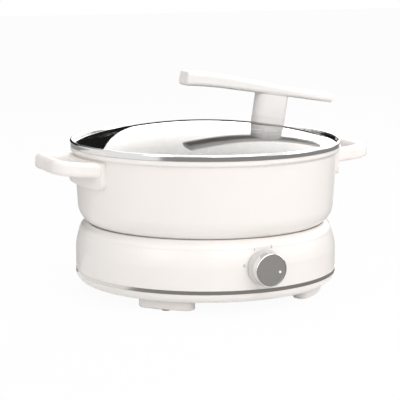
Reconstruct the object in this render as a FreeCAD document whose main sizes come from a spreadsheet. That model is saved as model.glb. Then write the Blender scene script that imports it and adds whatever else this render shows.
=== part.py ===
import FreeCAD, Part
import Sketcher
import math
import os
import re

# Electric hot pot: a round base with a dial, a lift-off pot and a lift-off glass lid.
# Frame: origin on the pot's axis at the table, +Z up, -Y the dial, +X and -X the pot handles.
# Millimetres throughout.

SIZES = {
    # base casing
    "foot_height": 12.5,
    "base_margin": 2.5,
    "base_wall": 2.6,
    "floor_inset": 8.0,
    "floor_thickness": 2.5,
    "skirt_height": 9.9,
    "belly_height": 37.5,
    "rim_height": 65.5,
    "shoulder_inset": 3.6,
    "shoulder_drop": 10.0,
    "parting_inset": 7.5,
    "parting_drop": 2.4,
    "crest_inset": 13.0,
    "tongue_depth": 6.0,
    "ledge_depth": 3.2,
    "ledge_width": 3.0,
    "trim_height": 4.0,
    "trim_thickness": 1.4,
    "trim_proud": 0.3,
    # clearances
    "fit_gap": 0.1,
    "running_gap": 0.05,
    "free_gap": 0.3,
    "seat_gap": 0.05,
    # feet and fastenings of the base
    "foot_inset": 23.5,
    "foot_width": 18.0,
    "foot_half_angle": 14.8,
    "foot_corner": 8.5,
    "foot_rounding": 2.2,
    "foot_start_angle": 45.0,
    "pad_radius": 5.0,
    "pad_proud": 1.5,
    "pad_depth": 2.6,
    "boss_inset": 15.5,
    "boss_radius": 5.0,
    "boss_height": 25.0,
    "boss_angle": 15.0,
    "screw_radius": 1.6,
    "screw_head_radius": 3.2,
    "screw_head_height": 2.0,
    "screw_length": 16.0,
    "counterbore_depth": 4.0,
    "vent_count": 12.0,
    "vent_inner": 38.0,
    "vent_outer": 64.0,
    "vent_width": 4.0,
    # heating plate and what hangs from it
    "pot_rise": 3.0,
    "plate_radius": 89.0,
    "plate_thickness": 7.0,
    "plate_hole": 12.6,
    "plate_edge": 1.0,
    "deck_gap": 2.0,
    "deck_wall": 2.4,
    "deck_sink": 2.0,
    "deck_collar": 5.0,
    "element_middle": 62.0,
    "element_radius": 4.0,
    "element_angle": 300.0,
    "terminal_radius": 3.0,
    "terminal_length": 14.0,
    "post_middle": 78.0,
    "post_radius": 4.0,
    "post_foot_radius": 6.5,
    "stud_radius": 2.0,
    "stud_length": 4.0,
    "shield_height": 44.0,
    "shield_thickness": 0.8,
    "shield_radius": 100.0,
    "shield_rim": 8.0,
    "shield_hole": 9.0,
    "cutout_radius": 9.0,
    "cutout_height": 9.0,
    "cutout_x": 34.0,
    "cutout_y": 22.0,
    "fuse_radius": 2.4,
    "fuse_length": 16.0,
    "fuse_x": 36.0,
    # centre temperature sensor
    "sensor_radius": 11.8,
    "sensor_cap_height": 3.5,
    "stem_radius": 4.0,
    "stem_length": 26.0,
    "guide_wall": 2.4,
    "guide_height": 9.6,
    "guide_flange": 30.0,
    "guide_cup": 20.0,
    "guide_sheet": 1.5,
    "guide_drop": 8.5,
    "clip_radius": 6.2,
    "clip_thickness": 0.8,
    "spring_middle": 8.0,
    "spring_wire": 0.6,
    "spring_turns": 5.0,
    # dial and its switch
    "knob_height": 49.3,
    "knob_radius": 19.1,
    "knob_taper": 1.1,
    "knob_clear": 0.8,
    "knob_wall": 2.0,
    "skirt_depth": 8.6,
    "knob_depth": 17.5,
    "bezel_wall": 1.2,
    "face_radius": 16.2,
    "face_thickness": 1.4,
    "face_recess": 0.3,
    "dot_radius": 1.4,
    "dot_middle": 10.0,
    "dot_angle": 15.0,
    "dot_depth": 0.9,
    "hub_radius": 6.0,
    "shaft_radius": 3.0,
    "shaft_back": 16.0,
    "shaft_front": 13.2,
    "flat_depth": 0.6,
    "neck_radius": 4.9,
    "neck_length": 4.1,
    "nut_size": 14.0,
    "nut_thickness": 3.0,
    "seat_radius": 10.0,
    "seat_proud": 0.6,
    "seat_back": 7.8,
    "switch_width": 34.0,
    "switch_depth": 22.0,
    "tab_width": 6.0,
    "tab_thickness": 0.8,
    "tab_length": 8.0,
    "tab_spacing": 16.0,
    # power inlet at the back
    "inlet_height": 47.0,
    "inlet_width": 42.0,
    "inlet_tall": 28.0,
    "inlet_proud": 15.0,
    "inlet_back": 12.5,
    "inlet_wall": 3.0,
    "socket_depth": 16.0,
    "inlet_corner": 6.0,
    "flange_margin": 6.0,
    "flange_proud": 3.0,
    "pin_radius": 2.0,
    "pin_spacing": 10.0,
    "pin_length": 29.0,
    # wires inside the base
    "wire_radius": 1.3,
    "wire_bend": 8.0,
    "wire_height": 18.0,
    # pot
    "pot_corner": 24.0,
    "pot_lower_radius": 142.0,
    "pot_flare": 3.5,
    "pot_height": 87.6,
    "pot_wall": 3.0,
    "pot_floor": 4.5,
    "pot_inner_corner": 20.0,
    "rim_thickness": 6.0,
    "rim_overhang": 4.1,
    "rim_lip": 1.6,
    "rebate_depth": 2.4,
    # pot handles
    "handle_reach": 40.5,
    "handle_root": 12.0,
    "handle_gap": 1.4,
    "handle_half_width": 47.0,
    "handle_bar": 13.0,
    "handle_arm": 14.0,
    "handle_thickness": 15.2,
    "handle_corner": 25.0,
    "handle_inner_corner": 13.0,
    "handle_rounding": 4.5,
    "handle_tilt": 5.4,
    "root_drop": 2.4,
    "root_height": 28.5,
    "root_thickness": 5.5,
    "root_half_angle": 18.8,
    "root_corner": 7.0,
    "rivet_radius": 2.5,
    "rivet_head_radius": 4.5,
    "rivet_head_height": 1.2,
    "rivet_spacing": 32.0,
    # lid
    "band_overhang": 0.4,
    "band_side": 4.0,
    "band_bead": 2.4,
    "band_lip": 3.8,
    "band_sheet": 0.6,
    "dome_radius": 519.0,
    "glass_lift": 2.15,
    "band_wall": 3.0,
    "glass_thickness": 3.0,
    "glass_hole": 4.0,
    # lid handle
    "tee_offset": 77.0,
    "tee_tilt": 9.0,
    "tee_length": 39.2,
    "tee_width": 24.0,
    "tee_gasket": 1.2,
    "collar_height": 7.6,
    "seam_height": 0.35,
    "seam_depth": 0.3,
    "post_height": 24.8,
    "bar_inner_reach": 111.0,
    "bar_outer_reach": 73.8,
    "bar_width": 24.0,
    "bar_thickness": 10.2,
    "bar_flat": 60.0,
    "bar_crown": 4.0,
    "bar_end_drop": 2.5,
    "bar_end_rise": 3.2,
    "bar_rounding": 4.0,
    "bar_end_rounding": 2.0,
    "lid_screw_radius": 2.5,
    "lid_screw_head": 4.6,
    "lid_screw_head_height": 3.0,
    "lid_screw_grip": 7.0,
    "under_gap": 0.45,
    "under_gasket": 1.2,
    "under_gasket_radius": 17.0,
    "washer_radius": 16.0,
    "washer_thickness": 1.5,
}

doc = FreeCAD.newDocument("hot_pot")
sheet = doc.addObject("Spreadsheet::Sheet", "Sizes")
for row, (size_name, size_value) in enumerate(SIZES.items(), start=1):
    sheet.set("A%d" % row, size_name)
    sheet.set("B%d" % row, str(size_value))
    sheet.setAlias("B%d" % row, size_name)
doc.recompute()

# Radii worked out from the sizes: the base, the rim and the lid all follow the pot's wall
RADII = {
    "pot_upper_radius": "(pot_lower_radius + pot_flare)",
    "rim_radius": "(pot_upper_radius + rim_overhang)",
    "rebate_radius": "(rim_radius - rim_lip)",
    "band_radius": "(rim_radius + band_overhang)",
    "glass_radius": "(band_radius - band_wall)",
    "base_radius": "(pot_lower_radius + base_margin)",
    "base_floor_radius": "(base_radius - floor_inset)",
    "shoulder_radius": "(base_radius - shoulder_inset)",
    "parting_radius": "(base_radius - parting_inset)",
    "crest_radius": "(base_radius - crest_inset)",
    "foot_middle": "(base_radius - foot_inset)",
    "boss_middle": "(base_radius - boss_inset)",
}

# Levels and places worked out from the sizes
TRIM_BOTTOM = "(foot_height + skirt_height)"
TRIM_TOP = "(foot_height + skirt_height + trim_height)"
RIM_TOP = "(foot_height + rim_height)"
INNER_RADIUS = "(base_radius - base_wall)"
POT_BOTTOM = "(foot_height + rim_height - pot_rise)"
POT_TOP = "(foot_height + rim_height - pot_rise + pot_height)"
RIM_BOTTOM = "(%s - rim_thickness)" % POT_TOP
CORNER_CENTRE = "(pot_lower_radius - pot_corner)"
CORNER_LEVEL = "(%s + pot_corner)" % POT_BOTTOM
PLATE_BOTTOM = "(%s - plate_thickness)" % POT_BOTTOM
FLOOR_TOP = "(foot_height + floor_thickness)"
DECK_TOP = "(%s - deck_sink)" % POT_BOTTOM
DECK_HOLE = "(plate_radius + deck_gap)"
LEDGE_TOP = "(%s - parting_drop - ledge_depth)" % RIM_TOP
DOME_CENTRE = "(%s + glass_lift - sqrt(dome_radius^2 - glass_radius^2))" % POT_TOP
DOME_TOP = "(%s + dome_radius)" % DOME_CENTRE
SENSOR_TOP = "(%s - free_gap)" % POT_BOTTOM
CUP_FLOOR = "(%s - guide_drop)" % PLATE_BOTTOM
BAR_BOTTOM = "(tee_gasket + collar_height + post_height)"
BOSS_BOTTOM = "(%s - tongue_depth)" % TRIM_TOP
INLET_FACE = "(base_radius + inlet_proud)"


def bound(text):
    """Writes worked-out radii in full and the sheet's name before each size."""
    word = r"[a-z]+(?:_[a-z]+)+"
    before = ""
    while before != text:
        before = text
        text = re.sub(word, lambda found: RADII.get(found.group(), found.group()), text)
    return re.sub(word, lambda found: "Sizes." + found.group(), text)


def value(text):
    """The number that an expression of sizes comes to now."""
    result = sheet.evalExpression(bound(text))
    return float(getattr(result, "Value", result))


def new_body(label):
    body = doc.addObject("PartDesign::Body", label)
    body.Label = label
    body.AllowCompound = True
    return body


def origin_part(body, role):
    return next(item for item in body.Origin.OriginFeatures if item.Role == role)


def place(item, x="0", y="0", z="0", axis=(0, 0, 1), angle="0"):
    """Binds an object's place and turn to expressions."""
    turn = FreeCAD.Rotation(FreeCAD.Vector(*axis), value(angle))
    item.Placement = FreeCAD.Placement(FreeCAD.Vector(), turn)
    for name, text in (("x", x), ("y", y), ("z", z)):
        if text != "0":
            item.setExpression("Placement.Base." + name, bound(text))
    if angle != "0":
        item.setExpression("Placement.Rotation.Angle", bound(angle))


def sketch_on(body, plane, offset="0", axis=(0, 0, 1), angle="0", along="0"):
    """A sketch on one of the body's own planes, moved along its normal and turned."""
    sketch = body.newObject("Sketcher::SketchObject", body.Name + "_sketch")
    sketch.AttachmentSupport = [(origin_part(body, plane), "")]
    sketch.MapMode = "FlatFace"
    turn = FreeCAD.Rotation(FreeCAD.Vector(*axis), value(angle))
    sketch.AttachmentOffset = FreeCAD.Placement(FreeCAD.Vector(), turn)
    if offset != "0":
        sketch.setExpression("AttachmentOffset.Base.z", bound(offset))
    if along != "0":
        sketch.setExpression("AttachmentOffset.Base.x", bound(along))
    if angle != "0":
        sketch.setExpression("AttachmentOffset.Rotation.Angle", bound(angle))
    return sketch


def pin_point(sketch, geometry, corner, x, y):
    """Holds one point of a sketch at two expressions."""
    for kind, text, zero_axis in (("DistanceX", x, -2), ("DistanceY", y, -1)):
        if text == "0":
            sketch.addConstraint(Sketcher.Constraint("PointOnObject", geometry, corner, zero_axis))
            continue
        rule = Sketcher.Constraint(kind, -1, 1, geometry, corner, value(text))
        index = sketch.addConstraint(rule)
        sketch.setExpression("Constraints[%d]" % index, bound(text))


def outline(sketch, path):
    """A closed outline: a pair is a corner reached by a line, four texts are an arc's middle and end."""
    ends = [(step[-2], step[-1]) for step in path]
    points = [FreeCAD.Vector(value(x), value(y), 0) for x, y in ends]
    first = sketch.GeometryCount
    edges = []
    for index, step in enumerate(path):
        start = points[index - 1]
        if len(step) == 2:
            edges.append(sketch.addGeometry(Part.LineSegment(start, points[index])))
        else:
            middle = FreeCAD.Vector(value(step[0]), value(step[1]), 0)
            edges.append(sketch.addGeometry(Part.Arc(start, middle, points[index])))
    tips = []
    for index, step in enumerate(path):
        counter = False
        if len(step) == 4:
            middle = FreeCAD.Vector(value(step[0]), value(step[1]), 0)
            start = points[index - 1]
            counter = (middle - start).cross(points[index] - middle).z < 0
        tips.append((2, 1) if counter else (1, 2))
    for index, step in enumerate(path):
        following = (index + 1) % len(path)
        sketch.addConstraint(
            Sketcher.Constraint(
                "Coincident", edges[index], tips[index][1], edges[following], tips[following][0]
            )
        )
        pin_point(sketch, edges[index], tips[index][1], *ends[index])
        if len(step) == 4:
            middle = FreeCAD.Vector(value(step[0]), value(step[1]), 0)
            point = sketch.addGeometry(Part.Point(middle), True)
            pin_point(sketch, point, 1, step[0], step[1])
            sketch.addConstraint(Sketcher.Constraint("PointOnObject", point, 1, edges[index]))
    return sketch


def circle(sketch, radius, x="0", y="0"):
    centre = FreeCAD.Vector(value(x), value(y), 0)
    ring = sketch.addGeometry(Part.Circle(centre, FreeCAD.Vector(0, 0, 1), value(radius)))
    index = sketch.addConstraint(Sketcher.Constraint("Radius", ring, value(radius)))
    sketch.setExpression("Constraints[%d]" % index, bound(radius))
    if x == "0" and y == "0":
        sketch.addConstraint(Sketcher.Constraint("Coincident", ring, 3, -1, 1))
    else:
        pin_point(sketch, ring, 3, x, y)
    return sketch


def rectangle(sketch, x_low, x_high, y_low, y_high):
    return outline(sketch, [(x_low, y_low), (x_high, y_low), (x_high, y_high), (x_low, y_high)])


def stadium(sketch, length, width):
    """A slot shape about the sketch's middle, longer along x."""
    flat = "(%s - %s) / 2" % (length, width)
    side = "%s / 2" % width
    tip = "%s / 2" % length
    return outline(
        sketch,
        [
            (flat, "-" + side),
            (tip, "0", flat, side),
            ("-" + flat, side),
            ("-" + tip, "0", "-" + flat, "-" + side),
        ],
    )


def feature(body, kind, sketch, **settings):
    """Adds a feature made from a sketch; a text setting is bound, any other is set."""
    item = body.newObject("PartDesign::" + kind, body.Name + "_" + kind.lower())
    item.Profile = sketch
    for name, setting in settings.items():
        if isinstance(setting, str):
            item.setExpression(name, bound(setting))
        else:
            setattr(item, name, setting)
    sketch.Visibility = False
    body.Tip = item
    return item


def pad(body, sketch, length, midplane=False, backwards=False):
    item = feature(body, "Pad", sketch, Length=length, Midplane=midplane, Reversed=backwards)
    doc.recompute()
    return item


def cut_checked(body, make):
    """Runs a cut and stops if it took nothing away."""
    doc.recompute()
    before = body.Shape.Volume
    item = make()
    doc.recompute()
    if body.Shape.Volume > before - 1e-6:
        raise RuntimeError("%s: a cut removed nothing" % body.Label)
    return item


def pocket(body, sketch, length, midplane=False, backwards=False):
    return cut_checked(
        body,
        lambda: feature(
            body, "Pocket", sketch, Length=length, Midplane=midplane, Reversed=backwards
        ),
    )


def groove(body, sketch):
    return cut_checked(
        body,
        lambda: feature(body, "Groove", sketch, ReferenceAxis=(sketch, ["V_Axis"]), Angle=360.0),
    )


def around(body, item, count):
    """Copies a feature evenly round the body's vertical axis."""
    pattern = body.newObject("PartDesign::PolarPattern", body.Name + "_pattern")
    pattern.Originals = [item]
    pattern.Axis = (origin_part(body, "Z_Axis"), [""])
    pattern.Angle = 360.0
    pattern.setExpression("Occurrences", bound(count))
    body.Tip = pattern
    doc.recompute()
    return pattern


def rounded(body, radius, wanted):
    """Rounds those edges of the body's last feature that a test picks."""
    doc.recompute()
    base = body.Tip
    names = [
        "Edge%d" % number
        for number, edge in enumerate(base.Shape.Edges, start=1)
        if wanted(edge)
    ]
    if not names:
        raise RuntimeError("%s: no edge to round" % body.Label)
    item = body.newObject("PartDesign::Fillet", body.Name + "_fillet")
    item.Base = (base, names)
    item.setExpression("Radius", bound(radius))
    body.Tip = item
    doc.recompute()
    return item


def turned(label, path):
    """A body turned about Z from an outline of radius and height."""
    body = new_body(label)
    sketch = outline(sketch_on(body, "XZ_Plane"), path)
    feature(body, "Revolution", sketch, ReferenceAxis=(sketch, ["V_Axis"]), Angle=360.0)
    doc.recompute()
    return body


def plain_cylinder(label, radius, height, **where):
    body = new_body(label)
    pad(body, circle(sketch_on(body, "XY_Plane"), radius), height)
    place(body, **where)
    return body


parts = []


def keep(item):
    parts.append(item)
    return item


# Base housing: the outer wall, its shoulder, the ledge for the deck and the tongue for the floor
housing = turned(
    "base_housing",
    [
        ("base_radius", TRIM_TOP),
        ("base_radius", "foot_height + belly_height"),
        (
            "base_radius - (base_radius - shoulder_radius) * 0.42",
            "foot_height + belly_height + (rim_height - shoulder_drop - belly_height) * 0.58",
            "shoulder_radius",
            RIM_TOP + " - shoulder_drop",
        ),
        (
            "shoulder_radius - (shoulder_radius - parting_radius) * 0.33",
            RIM_TOP + " - parting_drop - (shoulder_drop - parting_drop) * 0.4",
            "parting_radius",
            RIM_TOP + " - parting_drop",
        ),
        ("parting_radius", LEDGE_TOP),
        ("parting_radius - ledge_width", LEDGE_TOP),
        ("parting_radius - ledge_width", LEDGE_TOP + " - base_wall"),
        ("shoulder_radius - base_wall", RIM_TOP + " - shoulder_drop - base_wall * 0.3"),
        (
            INNER_RADIUS + " - (base_radius - shoulder_radius) * 0.42",
            "foot_height + belly_height + (rim_height - shoulder_drop - belly_height) * 0.5",
            INNER_RADIUS,
            "foot_height + belly_height",
        ),
        (INNER_RADIUS, BOSS_BOTTOM),
        ("base_radius - trim_thickness + trim_proud - fit_gap", BOSS_BOTTOM),
        ("base_radius - trim_thickness + trim_proud - fit_gap", TRIM_TOP),
    ],
)
boss = pad(
    housing,
    outline(
        sketch_on(housing, "XY_Plane", BOSS_BOTTOM, angle="boss_angle"),
        [
            (INNER_RADIUS + " + base_wall / 4", "-boss_radius"),
            (INNER_RADIUS + " + base_wall / 4", "boss_radius"),
            ("boss_middle", "boss_radius"),
            ("boss_middle - boss_radius", "0", "boss_middle", "-boss_radius"),
        ],
    ),
    "boss_height",
)
around(housing, boss, "4")
pilot = pocket(
    housing,
    circle(
        sketch_on(housing, "XY_Plane", BOSS_BOTTOM, angle="boss_angle"),
        "screw_radius + running_gap",
        "boss_middle",
    ),
    "screw_length",
    backwards=True,
)
around(housing, pilot, "4")
SEAT_BACK = "base_radius + seat_proud - seat_back"
pad(
    housing,
    circle(sketch_on(housing, "XZ_Plane", SEAT_BACK), "seat_radius", "0", "knob_height"),
    "seat_back",
)
pocket(
    housing,
    circle(
        sketch_on(housing, "XZ_Plane", "base_radius + seat_proud"),
        "neck_radius + fit_gap",
        "0",
        "knob_height",
    ),
    "seat_back + base_wall * 2",
)
INLET_LOW = "inlet_height - inlet_tall / 2"
INLET_HIGH = "inlet_height + inlet_tall / 2"
pocket(
    housing,
    rectangle(
        sketch_on(housing, "XZ_Plane", "-base_radius - base_wall"),
        "-inlet_width / 2 - fit_gap",
        "inlet_width / 2 + fit_gap",
        INLET_LOW + " - fit_gap",
        INLET_HIGH + " + fit_gap",
    ),
    "base_wall * 6",
    backwards=True,
)
INLET_SCREW_X = "(inlet_width / 2 + flange_margin / 2)"
inlet_holes = sketch_on(housing, "XZ_Plane", "-base_radius - base_wall")
for side in ("", "-"):
    circle(inlet_holes, "screw_radius + running_gap", side + INLET_SCREW_X, "inlet_height")
pocket(housing, inlet_holes, "base_wall * 6", backwards=True)
keep(housing)

# Trim ring: the metal stripe between housing and floor pan
keep(
    turned(
        "trim_ring",
        [
            ("base_radius + trim_proud - trim_thickness", TRIM_BOTTOM),
            ("base_radius + trim_proud", TRIM_BOTTOM),
            ("base_radius + trim_proud", TRIM_TOP),
            ("base_radius + trim_proud - trim_thickness", TRIM_TOP),
        ],
    )
)

# Floor pan with screw bosses, counterbores and vent slots
floor_pan = turned(
    "base_bottom",
    [
        ("0", "foot_height"),
        ("base_floor_radius", "foot_height"),
        (
            "base_radius - (base_radius - base_floor_radius) * 0.24",
            "foot_height + skirt_height * 0.42",
            "base_radius",
            TRIM_BOTTOM,
        ),
        ("base_radius - trim_thickness + trim_proud", TRIM_BOTTOM),
        ("base_radius - trim_thickness + trim_proud", BOSS_BOTTOM + " - fit_gap"),
        (INNER_RADIUS, BOSS_BOTTOM + " - fit_gap"),
        (
            "base_floor_radius + (base_radius - base_floor_radius) * 0.45",
            "foot_height + floor_thickness * 1.7",
            "base_floor_radius - floor_thickness * 0.4",
            FLOOR_TOP,
        ),
        ("0", FLOOR_TOP),
    ],
)
pan_boss = pad(
    floor_pan,
    circle(
        sketch_on(floor_pan, "XY_Plane", FLOOR_TOP, angle="boss_angle"), "boss_radius", "boss_middle"
    ),
    BOSS_BOTTOM + " - " + FLOOR_TOP,
)
around(floor_pan, pan_boss, "4")
for hole_radius, hole_depth in (
    ("screw_radius + fit_gap", BOSS_BOTTOM + " - foot_height"),
    ("screw_head_radius + fit_gap", "counterbore_depth"),
):
    hole = pocket(
        floor_pan,
        circle(
            sketch_on(floor_pan, "XY_Plane", "foot_height", angle="boss_angle"),
            hole_radius,
            "boss_middle",
        ),
        hole_depth,
        backwards=True,
    )
    around(floor_pan, hole, "4")
post_hole = pocket(
    floor_pan,
    circle(sketch_on(floor_pan, "XY_Plane", "foot_height"), "screw_radius + fit_gap", "post_middle"),
    "floor_thickness",
    backwards=True,
)
around(floor_pan, post_hole, "3")
vent = pocket(
    floor_pan,
    rectangle(
        sketch_on(floor_pan, "XY_Plane", "foot_height", angle="boss_angle"),
        "vent_inner",
        "vent_outer",
        "-vent_width / 2",
        "vent_width / 2",
    ),
    "floor_thickness",
    backwards=True,
)
around(floor_pan, vent, "vent_count")
keep(floor_pan)

# Screws that hold the floor pan to the housing, and the plate's posts to the pan
pan_screws = new_body("cover_screws")
PAN_SCREW_SEAT = "foot_height + counterbore_depth"
for radius, length, backwards in (
    ("screw_radius", "screw_length", False),
    ("screw_head_radius", "screw_head_height", True),
):
    seat = sketch_on(pan_screws, "XY_Plane", PAN_SCREW_SEAT, angle="boss_angle")
    piece = pad(pan_screws, circle(seat, radius, "boss_middle"), length, backwards=backwards)
    around(pan_screws, piece, "4")
keep(pan_screws)

post_screws = new_body("standoff_screws")
for radius, length, backwards in (
    ("screw_radius", "screw_length / 2", False),
    ("screw_head_radius", "screw_head_height", True),
):
    seat = sketch_on(post_screws, "XY_Plane", "foot_height")
    piece = pad(post_screws, circle(seat, radius, "post_middle"), length, backwards=backwards)
    around(post_screws, piece, "3")
keep(post_screws)

# Four feet, each with a rubber pad let into its underside
FOOT_INNER = "(foot_middle - foot_width / 2)"
FOOT_OUTER = "(foot_middle + foot_width / 2)"


def sector_corner(radius, side):
    turn = "foot_half_angle * 1deg"
    return ("%s * cos(%s)" % (radius, turn), "%s%s * sin(%s)" % (side, radius, turn))


for number, place_name in enumerate(("back_right", "back_left", "front_left", "front_right")):
    turn = "foot_start_angle + %d * 90" % number
    foot = new_body("foot_" + place_name)
    pad(
        foot,
        outline(
            sketch_on(foot, "XY_Plane", "pad_proud"),
            [
                sector_corner(FOOT_OUTER, "-"),
                (FOOT_OUTER, "0") + sector_corner(FOOT_OUTER, ""),
                sector_corner(FOOT_INNER, ""),
                (FOOT_INNER, "0") + sector_corner(FOOT_INNER, "-"),
            ],
        ),
        "foot_height - pad_proud",
    )
    rounded(foot, "foot_corner", lambda edge: edge.BoundBox.ZLength > value("foot_height") / 2)
    rounded(foot, "foot_rounding", lambda edge: edge.BoundBox.ZMax < value("pad_proud") + 0.01)
    pocket(
        foot,
        circle(sketch_on(foot, "XY_Plane", "pad_proud"), "pad_radius + fit_gap", "foot_middle"),
        "pad_depth",
        backwards=True,
    )
    place(foot, angle=turn)
    keep(foot)
    foot_pad = new_body("foot_pad_" + place_name)
    pad(
        foot_pad,
        circle(sketch_on(foot_pad, "XY_Plane"), "pad_radius", "foot_middle"),
        "pad_proud + pad_depth",
    )
    place(foot_pad, angle=turn)
    keep(foot_pad)

# Top deck: the white ring inside the parting line, the pot's recess and the collar round the plate
DECK_FLARE = "(pot_corner + 1.2)"
deck = turned(
    "top_deck",
    [
        ("parting_radius - free_gap", LEDGE_TOP),
        ("parting_radius - free_gap", RIM_TOP + " - parting_drop - seat_gap"),
        (
            "(parting_radius + crest_radius) / 2 + 0.4",
            RIM_TOP + " - parting_drop * 0.32",
            "crest_radius",
            RIM_TOP,
        ),
        ("crest_radius - 0.5", RIM_TOP + " - 0.4"),
        (
            CORNER_CENTRE + " + 0.36 * " + DECK_FLARE,
            CORNER_LEVEL + " - 0.933 * " + DECK_FLARE,
            CORNER_CENTRE + " + 0.12 * " + DECK_FLARE,
            DECK_TOP + " + 0.6",
        ),
        (CORNER_CENTRE + " + 0.06 * " + DECK_FLARE, DECK_TOP),
        (DECK_HOLE, DECK_TOP),
        (DECK_HOLE, DECK_TOP + " - deck_collar"),
        (DECK_HOLE + " + deck_wall", DECK_TOP + " - deck_collar"),
        (DECK_HOLE + " + deck_wall", DECK_TOP + " - deck_wall"),
        (CORNER_CENTRE + " + deck_wall", DECK_TOP + " - deck_wall"),
        ("crest_radius - deck_wall - 2", LEDGE_TOP + " - 0.4"),
        ("crest_radius + 0.2", LEDGE_TOP + " + 2.4"),
        ("parting_radius - ledge_width - free_gap", LEDGE_TOP),
    ],
)
keep(deck)

# Heating plate with its hole for the sensor, the groove for the element and holes for the studs
plate = turned(
    "heating_plate",
    [
        ("plate_hole", PLATE_BOTTOM),
        ("element_middle - element_radius - fit_gap", PLATE_BOTTOM),
        (
            "element_middle",
            PLATE_BOTTOM + " + element_radius + fit_gap",
            "element_middle + element_radius + fit_gap",
            PLATE_BOTTOM,
        ),
        ("plate_radius", PLATE_BOTTOM),
        ("plate_radius", POT_BOTTOM + " - plate_edge"),
        ("plate_radius - plate_edge", POT_BOTTOM),
        ("plate_hole + plate_edge / 2", POT_BOTTOM),
        ("plate_hole", POT_BOTTOM + " - plate_edge / 2"),
    ],
)
stud_hole = pocket(
    plate,
    circle(sketch_on(plate, "XY_Plane", PLATE_BOTTOM), "stud_radius + running_gap", "post_middle"),
    "stud_length + fit_gap",
    backwards=True,
)
around(plate, stud_hole, "3")
keep(plate)

# Tubular element in the plate's groove, with its two cold ends pointing down
element = new_body("heating_element")
element_sketch = circle(
    sketch_on(element, "XZ_Plane"), "element_radius", "element_middle", PLATE_BOTTOM
)
feature(
    element,
    "Revolution",
    element_sketch,
    ReferenceAxis=(element_sketch, ["V_Axis"]),
    Angle="element_angle",
    Midplane=True,
)
ELEMENT_TURN = "(element_angle / 2 * 1deg)"
for side in ("", "-"):
    pad(
        element,
        circle(
            sketch_on(element, "XY_Plane", PLATE_BOTTOM),
            "terminal_radius",
            "element_middle * cos(%s)" % ELEMENT_TURN,
            side + "element_middle * sin(%s)" % ELEMENT_TURN,
        ),
        "terminal_length",
        backwards=True,
    )
keep(element)

# Posts that carry the plate, with a shoulder for the heat shield and a stud into the plate
posts = new_body("plate_standoffs")
for low, high, radius in (
    (FLOOR_TOP, "shield_height", "post_foot_radius"),
    ("shield_height", PLATE_BOTTOM, "post_radius"),
    (PLATE_BOTTOM, PLATE_BOTTOM + " + stud_length", "stud_radius"),
):
    length = "%s - %s" % (high, low)
    stage = pad(posts, circle(sketch_on(posts, "XY_Plane", low), radius, "post_middle"), length)
    around(posts, stage, "3")
post_bore = pocket(
    posts,
    circle(sketch_on(posts, "XY_Plane", FLOOR_TOP), "screw_radius + running_gap", "post_middle"),
    "screw_length / 2",
    backwards=True,
)
around(posts, post_bore, "3")
keep(posts)

# Heat shield: a dish on the posts' shoulders, open round the sensor and under the element's ends
shield = turned(
    "heat_shield",
    [
        ("shield_hole", "shield_height"),
        ("shield_radius", "shield_height"),
        ("shield_radius", "shield_height + shield_rim"),
        ("shield_radius - shield_thickness", "shield_height + shield_rim"),
        ("shield_radius - shield_thickness", "shield_height + shield_thickness"),
        ("shield_hole", "shield_height + shield_thickness"),
    ],
)
shield_hole = pocket(
    shield,
    circle(sketch_on(shield, "XY_Plane", "shield_height"), "post_radius + fit_gap", "post_middle"),
    "shield_thickness",
    backwards=True,
)
around(shield, shield_hole, "3")
lead_holes = sketch_on(shield, "XY_Plane", "shield_height")
for side in ("", "-"):
    circle(
        lead_holes,
        "terminal_radius + deck_gap",
        "element_middle * cos(%s)" % ELEMENT_TURN,
        side + "element_middle * sin(%s)" % ELEMENT_TURN,
    )
pocket(shield, lead_holes, "shield_thickness", backwards=True)
keep(shield)

# Thermal cut-out under the plate, and the one-shot fuse that lies beside it in its sleeve
keep(
    plain_cylinder(
        "thermal_cutout",
        "cutout_radius",
        "cutout_height",
        x="cutout_x",
        y="cutout_y",
        z=PLATE_BOTTOM + " - cutout_height",
    )
)
fuse = new_body("thermal_fuse")
pad(
    fuse,
    circle(
        sketch_on(fuse, "YZ_Plane", "fuse_x"),
        "fuse_radius",
        "-cutout_y",
        PLATE_BOTTOM + " - fuse_radius - seat_gap",
    ),
    "fuse_length",
    midplane=True,
)
keep(fuse)

# Sensor guide: a cup on the plate's underside with the sleeve that the sensor's stem slides in
keep(
    turned(
        "sensor_guide",
        [
            ("stem_radius + running_gap", CUP_FLOOR + " - guide_height"),
            ("stem_radius + guide_wall", CUP_FLOOR + " - guide_height"),
            ("stem_radius + guide_wall", CUP_FLOOR + " - guide_sheet"),
            ("guide_cup", CUP_FLOOR + " - guide_sheet"),
            ("guide_cup", PLATE_BOTTOM + " - guide_sheet"),
            ("guide_flange", PLATE_BOTTOM + " - guide_sheet"),
            ("guide_flange", PLATE_BOTTOM),
            ("guide_cup - guide_sheet", PLATE_BOTTOM),
            ("guide_cup - guide_sheet", CUP_FLOOR),
            ("stem_radius + running_gap", CUP_FLOOR),
        ],
    )
)

# Sensor: its cap with the stem, and the clip that stops it at the top
CAP_BOTTOM = "(%s - sensor_cap_height)" % SENSOR_TOP
CLIP_TOP = "(%s - guide_height)" % CUP_FLOOR
keep(
    turned(
        "sensor_cap",
        [
            ("0", CAP_BOTTOM + " - stem_length"),
            ("stem_radius", CAP_BOTTOM + " - stem_length"),
            ("stem_radius", CAP_BOTTOM),
            ("sensor_radius", CAP_BOTTOM),
            ("sensor_radius", SENSOR_TOP + " - plate_edge"),
            ("sensor_radius - plate_edge", SENSOR_TOP),
            ("0", SENSOR_TOP),
        ],
    )
)
keep(
    turned(
        "sensor_clip",
        [
            ("stem_radius + seat_gap", CLIP_TOP + " - clip_thickness"),
            ("clip_radius", CLIP_TOP + " - clip_thickness"),
            ("clip_radius", CLIP_TOP),
            ("stem_radius + seat_gap", CLIP_TOP),
        ],
    )
)

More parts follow.
